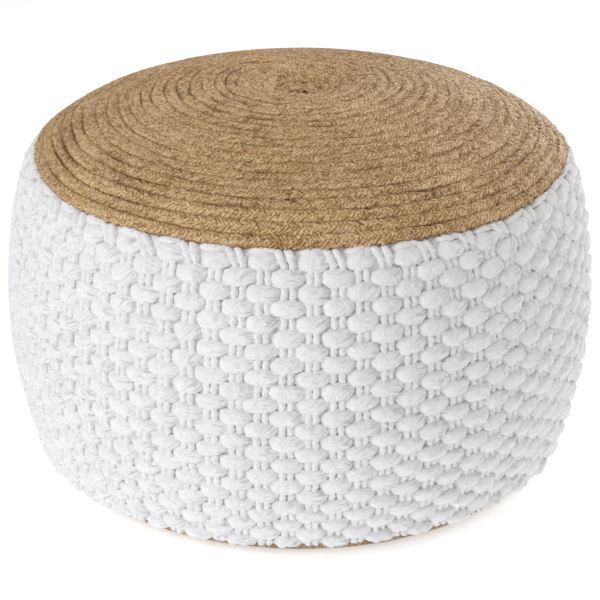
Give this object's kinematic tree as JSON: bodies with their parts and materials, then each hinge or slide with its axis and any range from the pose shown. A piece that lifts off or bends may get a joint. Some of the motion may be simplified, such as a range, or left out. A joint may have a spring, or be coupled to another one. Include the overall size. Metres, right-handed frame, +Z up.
{
  "type": "braided pouf",
  "caption": "Round filled floor pouf: domed seat top coiled from jute braid, chunky white cotton weave round a barrel-shaped side, coiled jute base that rests flat on the floor.",
  "frame": {"origin": "on the floor under the middle of the pouf", "axes": "+Z up through the middle of the seat; the pouf is round, so +X and +Y are any two level directions at right angles"},
  "size_m": [0.551, 0.551, 0.352],
  "materials": {
    "jute_top": "natural jute fibre, flat braid coiled and stitched into a disc, dry and matte with a faint sheen",
    "cotton_weave": "soft white cotton yarn bundles in a chunky plain weave, matte",
    "jute_base": "natural jute fibre, flat braid coiled and stitched into a disc, dry and matte"
  },
  "bodies": {
    "root": {"top_disc": "jute_top", "side_band": "cotton_weave", "base_disc": "jute_base"}
  },
  "joints": []
}
